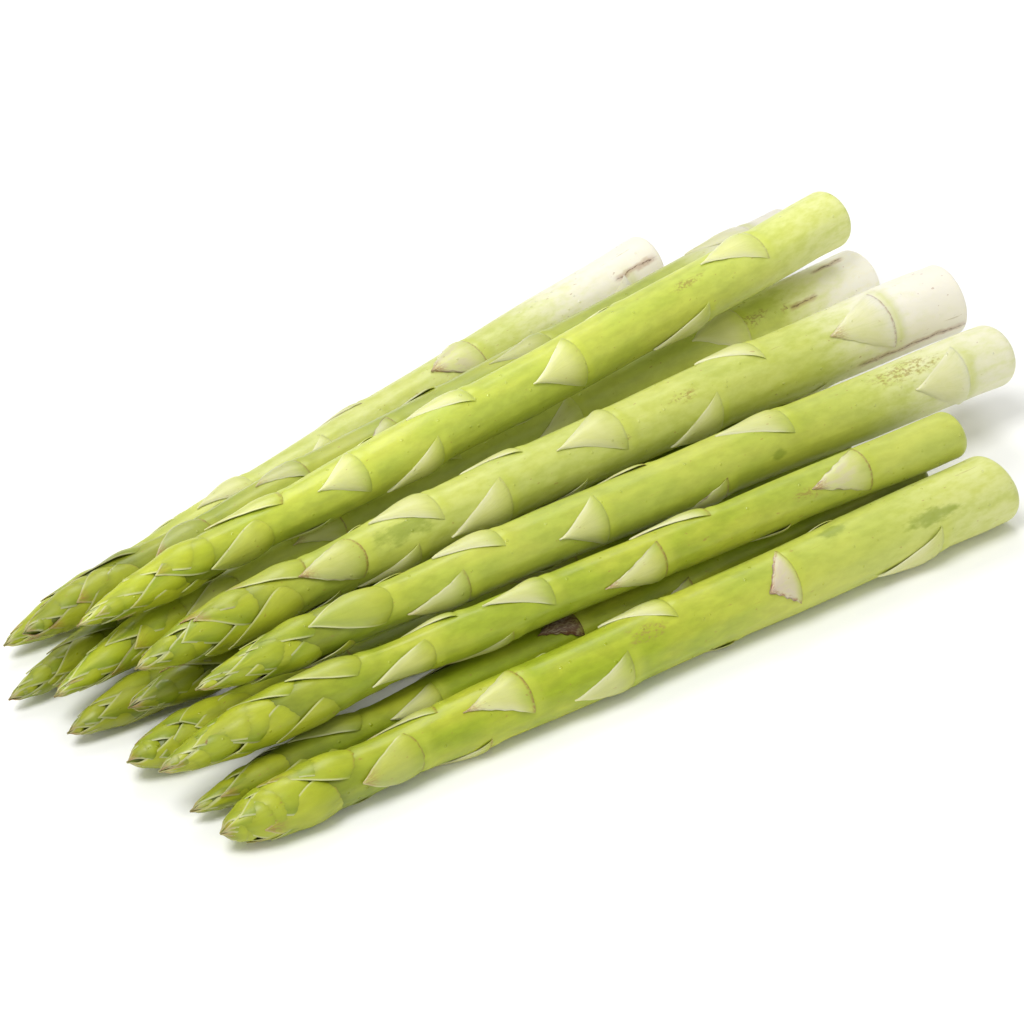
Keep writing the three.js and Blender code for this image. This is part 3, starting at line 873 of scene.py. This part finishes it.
# Ramps: the values between which each one runs, and what it gives at both, if not 0 and 1
HEAD_BY_TIP = (0.15, 0.9, 1.0, 0.0)
YELLOW_PATCHES = (0.35, 0.65)
YELLOW_STREAKS = (0.45, 0.8, 0.0, 0.15)
GREEN_MOTTLING = (0.25, 0.75, 0.88, 1.1)
PALE_MOTTLING = (0.2, 0.7, 0.85, 1.1)
CREAM_BY_PALENESS = (0.35, 0.95)
FROM_HEAD_LEAF_EDGE = (0.5, 3.0, 0.0, 0.5)
CREAM_FROM_FOOT = (0.02, 0.4, 0.1, 0.58)
VEINS = (0.5, 0.72, 0.0, 0.1)
THIN_MARGIN = (0.1, 0.5, 0.4, 0.0)
SOFT_MARGIN = (0.3, 2.5, 0.25, 0.0)
OFF_FOOT = (0.05, 0.3)
TATTERS = (0.4, 0.62)
DRY_BY_WEAR = (0.6, 0.95)
DRY_FROM_FOOT = (0.05, 0.5)
RUST_BY_TIP = (0.005, 0.035, 0.7, 0.0)
RUST_TO_POINT = (0.68, 0.95)
RUST_POINT_BY_WEAR = (0.3, 0.6)
RUST_POINT_BREAKS = (0.38, 0.56)
CREASE_BEGINS = (0.0, 0.015)
CREASE_ENDS = (0.04, 0.09, 1.0, 0.0)
CREASE_BY_WEAR = (0.15, 0.6)
CREASE_BREAKS = (0.3, 0.6)
TORN_BY_WEAR = (0.9, 1.0)
TORN_EDGE = (0.3, 1.4, 1.0, 0.0)
TORN_EDGE_BREAKS = (0.42, 0.58)
RUST_EDGE = (0.1, 0.5, 1.0, 0.0)
RUST_EDGE_BY_WEAR = (0.45, 0.8)
DEAD_BY_WEAR = (1.1, 1.5)
DEAD_BREAKS = (0.35, 0.6, 0.6, 0.95)
MARK_ENDS = (0.6, 1.0, 1.0, 0.0)
CRACK_STAIN = (0.2, 0.9, 0.45, 0.0)
CRACK_LINE = (0.03, 0.2, 0.75, 0.0)
CRACK_BREAKS = (0.3, 0.6)
MARK_AREA = (0.3, 0.9, 1.0, 0.0)
SCUFF_BREAKS = (0.45, 0.6, 0.0, 0.7)
SPECKS = (0.74, 0.79, 0.0, 0.4)
SCUFF_STREAKS = (0.64, 0.74)
SCUFF_PATCHES = (0.55, 0.66)
CUT_FACE = (0.9, 0.99, 1.0, 0.0)
STRANDS = (0.55, 0.62, 0.0, 0.35)
SHINE = (0.2, 0.8, 0.34, 0.46)
SHINE_IN_DROPS = (0.05, 0.3, 1.0, 0.2)

# The bump, with its depth in metres and the share of it that each part takes
BUMP = 0.5
BUMP_DEPTH = 0.0004
STREAK_RELIEF = 0.12
ROUGH_RELIEF = 0.22
DROP_RELIEF = 0.9

# Water drops
DROP_CELLS = 0.3          # cells per millimetre that may hold a drop
DROP_RADIUS = 0.15        # in cells
DROP_TOP = 0.3            # share of that over which a drop is flat
DROPS_CHOSEN = (0.55, 0.57)


def skin_colour(recipe, noise):
    _, from_tip, _, pale = recipe.data("place")
    _, on_leaf, u, edge = recipe.data("leaf")
    _, wear, in_head, zone = recipe.data("mood")
    _, tone, ridge, _ = recipe.data("skin")
    on_stem = recipe.math("SUBTRACT", 1.0, on_leaf)
    off_head = recipe.math("SUBTRACT", 1.0, in_head)

    # Green, yellower in patches and streaks, and painted shade on the head's core between its leaves
    head = recipe.step(from_tip, *HEAD_BY_TIP)
    green = recipe.mix(head, STEM_GREEN, HEAD_GREEN)
    yellow = recipe.mix(head, STEM_YELLOW, HEAD_YELLOW)
    skin = recipe.mix(recipe.step(noise.patch, *YELLOW_PATCHES), green, yellow)
    skin = recipe.mix(recipe.step(noise.streak, *YELLOW_STREAKS), skin, yellow)
    # Painted shade: the stem's core inside the head is darkened so that the gaps between its leaves look
    # dark
    skin = recipe.mix(recipe.times(on_stem, in_head, CORE_SHADE_SHARE), skin, CORE_SHADE_GREEN)
    skin = recipe.tint(skin, recipe.step(noise.mottle, *GREEN_MOTTLING))

    # Pale towards the cut end and on the ridge under each leaf
    paleness = recipe.times(pale, recipe.step(noise.mottle, *PALE_MOTTLING))
    skin = recipe.mix(recipe.math("MULTIPLY", paleness, WAN_GAIN, clamp=True), skin, WAN_GREEN)
    skin = recipe.mix(recipe.step(paleness, *CREAM_BY_PALENESS), skin, BUTT_CREAM)
    skin = recipe.mix(recipe.times(ridge, RIDGE_SHARE), skin, RIDGE_GREEN)

    # Scale leaves: yellow middles in the head, cream down the stem, veins and light margins
    middle = recipe.times(on_leaf, in_head, recipe.step(edge, *FROM_HEAD_LEAF_EDGE))
    skin = recipe.mix(middle, skin, HEAD_YELLOW)
    cream = recipe.times(on_leaf, off_head, recipe.step(u, *CREAM_FROM_FOOT))
    skin = recipe.mix(cream, skin, LEAF_PALE)
    veins = recipe.times(on_leaf, recipe.step(noise.fine, *VEINS))
    skin = recipe.mix(veins, skin, green)
    off_foot = recipe.times(on_leaf, recipe.step(u, *OFF_FOOT))
    skin = recipe.mix(recipe.times(off_foot, recipe.step(edge, *THIN_MARGIN)), skin, LEAF_MARGIN)
    skin = recipe.mix(recipe.times(off_foot, off_head, recipe.step(edge, *SOFT_MARGIN)), skin, LEAF_MARGIN)
    # Tone of the spear, with painted shade where it is below 1 on spears that lie low in the heap
    skin = recipe.tint(skin, tone)

    # Wear: dry silver skin, and rust at points, feet and edges
    tatters = recipe.step(noise.mottle, *TATTERS)
    dry = recipe.times(recipe.step(wear, *DRY_BY_WEAR), recipe.step(u, *DRY_FROM_FOOT), tatters)
    skin = recipe.mix(recipe.times(on_leaf, dry, DRY_SHARE), skin, SILVER)
    rust_tip = recipe.times(on_leaf, recipe.step(from_tip, *RUST_BY_TIP), tatters)
    skin = recipe.mix(rust_tip, skin, RUST)
    rust_point = recipe.times(recipe.step(u, *RUST_TO_POINT), recipe.step(wear, *RUST_POINT_BY_WEAR))
    rust_point = recipe.times(rust_point, recipe.step(noise.rough, *RUST_POINT_BREAKS), RUST_POINT_SHARE)
    skin = recipe.mix(recipe.times(on_leaf, rust_point), skin, RUST)
    crease = recipe.times(recipe.step(u, *CREASE_BEGINS), recipe.step(u, *CREASE_ENDS))
    crease = recipe.times(crease, recipe.step(wear, *CREASE_BY_WEAR), CREASE_SHARE)
    crease = recipe.times(on_leaf, crease, recipe.step(noise.rough, *CREASE_BREAKS))
    skin = recipe.mix(crease, skin, RUST)
    torn = recipe.times(on_leaf, recipe.step(wear, *TORN_BY_WEAR))
    torn_skin = recipe.times(torn, recipe.step(u, *OFF_FOOT), TORN_SILVER_SHARE)
    skin = recipe.mix(torn_skin, skin, SILVER)
    torn_edge = recipe.times(recipe.step(edge, *TORN_EDGE), recipe.step(noise.rough, *TORN_EDGE_BREAKS))
    skin = recipe.mix(recipe.times(torn, torn_edge, TORN_RUST_SHARE), skin, RUST)
    rust_edge = recipe.times(recipe.step(edge, *RUST_EDGE), recipe.step(wear, *RUST_EDGE_BY_WEAR), tatters)
    skin = recipe.mix(recipe.times(on_leaf, rust_edge, RUST_EDGE_SHARE), skin, DARK_RUST)
    dead = recipe.times(recipe.step(wear, *DEAD_BY_WEAR), recipe.step(noise.rough, *DEAD_BREAKS))
    skin = recipe.mix(recipe.times(on_leaf, dead), skin, DARK_RUST)
    return skin_marks(recipe, skin, noise, zone)


def skin_marks(recipe, skin, noise, zone):
    """Adds cracks, scuffs and bruises, and the flesh of the cut end."""
    flaw, across, along, _ = recipe.data("flaw")
    _, cracked, scuffed, bruised = recipe.data("mark")
    wobble = recipe.math("MULTIPLY_ADD", noise.mottle, MARK_WOBBLE, third=-MARK_WOBBLE / 2)
    off_line = recipe.math("ABSOLUTE", recipe.math("ADD", across, wobble))
    in_length = recipe.step(recipe.math("ABSOLUTE", along), *MARK_ENDS)
    crack = recipe.times(cracked, in_length)
    stain = recipe.times(crack, recipe.step(off_line, *CRACK_STAIN))
    skin = recipe.mix(stain, skin, RUST)
    line = recipe.times(crack, recipe.step(off_line, *CRACK_LINE), recipe.step(noise.rough, *CRACK_BREAKS))
    skin = recipe.mix(line, skin, DARK_RUST)
    reach = recipe.node("ShaderNodeVectorMath", {0: flaw}, operation="LENGTH").outputs["Value"]
    area = recipe.step(recipe.math("ADD", reach, wobble), *MARK_AREA)
    scuff = recipe.times(scuffed, area, recipe.step(noise.rough, *SCUFF_BREAKS))
    skin = recipe.mix(scuff, skin, SCUFF_BROWN)
    skin = recipe.mix(recipe.times(bruised, area, BRUISE_SHARE), skin, BRUISE_GREEN)

    skin = recipe.mix(recipe.step(noise.speck, *SPECKS), skin, RUST)
    scuff = recipe.times(recipe.step(noise.streak, *SCUFF_STREAKS), SCUFF_SHARE)
    scuff = recipe.times(scuff, recipe.step(noise.mottle, *SCUFF_PATCHES))
    skin = recipe.mix(scuff, skin, SCUFF_BROWN)
    flesh = recipe.mix(recipe.step(noise.strand, *STRANDS), CUT_FLESH, STEM_GREEN)
    return recipe.mix(recipe.step(zone, *CUT_FACE), skin, flesh)


def drops_on(recipe, grain):
    """Scattered water drops, as domes from 0 to 1."""
    cells = recipe.node("ShaderNodeTexVoronoi", {"Vector": grain, "Scale": DROP_CELLS})
    chosen = recipe.node("ShaderNodeSeparateXYZ", {0: cells.outputs["Color"]}).outputs[0]
    dome = recipe.step(cells.outputs["Distance"], DROP_RADIUS * DROP_TOP, DROP_RADIUS, 1.0, 0.0)
    return recipe.times(dome, recipe.step(chosen, *DROPS_CHOSEN))


def skin_material(name):
    recipe = Recipe(name)
    grain = recipe.data("grain")[0]
    noise = SimpleNamespace(**{key: recipe.noise(grain, *values) for key, values in NOISES.items()})
    drops = drops_on(recipe, grain)

    surface = recipe.surface
    recipe.set(surface.inputs["Base Color"], skin_colour(recipe, noise))
    shine = recipe.step(noise.mottle, *SHINE)
    recipe.set(surface.inputs["Roughness"], recipe.times(shine, recipe.step(drops, *SHINE_IN_DROPS)))
    surface.inputs["Specular IOR Level"].default_value = 0.4
    surface.inputs["Subsurface Weight"].default_value = 0.2
    surface.inputs["Subsurface Radius"].default_value = (1.0, 1.0, 0.35)
    surface.inputs["Subsurface Scale"].default_value = 0.0015
    surface.inputs["Coat Weight"].default_value = 0.1
    surface.inputs["Coat Roughness"].default_value = 0.2
    streaks = recipe.times(noise.streak, STREAK_RELIEF)
    height = recipe.math("ADD", streaks, recipe.times(noise.rough, ROUGH_RELIEF))
    height = recipe.math("ADD", height, recipe.times(drops, DROP_RELIEF))
    bump = recipe.node("ShaderNodeBump", {"Strength": BUMP, "Distance": BUMP_DEPTH, "Height": height})
    recipe.set(surface.inputs["Normal"], bump.outputs["Normal"])
    return recipe.material


# The heap

FIRST_SEED = 100

laid = []
for spear in SPEARS:
    settle(spear, laid)
    laid.append(spear)

grown = {}
offsets = []
for number, spear in enumerate(SPEARS):
    chance = np.random.default_rng(FIRST_SEED + number)
    sheets = Sheets()
    stem_sheet(spear, sheets, chance)
    leaf_sheets(spear, sheets, chance)
    grown[spear.name] = sheets
    points = np.concatenate(sheets.points)
    own_middle = (points.min(axis=0) + points.max(axis=0)) / 2
    low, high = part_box(spear.name)
    offsets.append(np.array((low + high) / 2) / METRES - own_middle)

shift = np.mean(offsets, axis=0) * (1, 1, 0)
skins = {slot: skin_material(slot.replace("_", " ")) for slot in ("green_spear", "pale_spear")}
for spear in SPEARS:
    piece = join_sheets("fresh_" + spear.name, grown[spear.name], shift)
    piece.data.materials.append(skins[spear.slot])
    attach(piece, "root")
    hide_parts(spear.name)

# The floor, the lights and the camera, in metres

AIM_HEIGHT = 0.015
AIM = Vector(shift * METRES) + Vector((0, 0, AIM_HEIGHT))
CAMERA_TURN = -40
CAMERA_RISE = 35
CAMERA_DISTANCE = 1.1
CAMERA_LENS = 154.7
CAMERA_SENSOR = 36
FLOOR_HALF = 4.0
FLOOR_DROP = 0.0001       # the floor lies this far under the heap, so that the two never coincide
SKY = 0.5
# Name, turn, rise, distance, size and power in watts
LIGHTS = (
    ("key", -80, 65, 1.2, 0.6, 9),
    ("back", 150, 50, 1.2, 0.6, 4),
    ("fill", -10, 30, 1.5, 0.8, 1.5),
)


def direction(turn, rise):
    """The way from the aim towards a place at this turn and rise, with turn 0 in front."""
    turn = math.radians(turn)
    rise = math.radians(rise)
    return Vector((math.sin(turn) * math.cos(rise), -math.cos(turn) * math.cos(rise), math.sin(rise)))


def aim_at(item, target):
    item.rotation_euler = (target - item.location).to_track_quat("-Z", "Y").to_euler()


def add_floor():
    mesh = bpy.data.meshes.new("floor")
    corners = [(FLOOR_HALF * x, FLOOR_HALF * y, 0) for x, y in ((-1, -1), (1, -1), (1, 1), (-1, 1))]
    mesh.from_pydata(corners, [], [(0, 1, 2, 3)])
    floor = bpy.data.objects.new("floor", mesh)
    floor.location.z = -FLOOR_DROP
    bpy.context.scene.collection.objects.link(floor)
    recipe = Recipe("pale floor")
    recipe.surface.inputs["Base Color"].default_value = linear("fbfbfa")
    recipe.surface.inputs["Roughness"].default_value = 0.8
    floor.data.materials.append(recipe.material)


def add_light(name, turn, rise, distance, size, power):
    data = bpy.data.lights.new(name, "AREA")
    data.shape = "DISK"
    data.size = size
    data.energy = power
    lamp = bpy.data.objects.new(name, data)
    lamp.location = AIM + direction(turn, rise) * distance
    aim_at(lamp, AIM)
    bpy.context.scene.collection.objects.link(lamp)


def add_camera():
    data = bpy.data.cameras.new("camera")
    data.lens = CAMERA_LENS
    data.sensor_width = CAMERA_SENSOR
    camera = bpy.data.objects.new("camera", data)
    camera.location = AIM + direction(CAMERA_TURN, CAMERA_RISE) * CAMERA_DISTANCE
    aim_at(camera, AIM)
    bpy.context.scene.collection.objects.link(camera)
    bpy.context.scene.camera = camera


def light_world(strength):
    world = bpy.data.worlds.new("studio")
    world.use_nodes = True
    background = world.node_tree.nodes["Background"]
    background.inputs["Color"].default_value = (1, 1, 1, 1)
    background.inputs["Strength"].default_value = strength
    bpy.context.scene.world = world


add_floor()
light_world(SKY)
for light in LIGHTS:
    add_light(*light)
add_camera()
bpy.context.scene.view_settings.view_transform = "Standard"
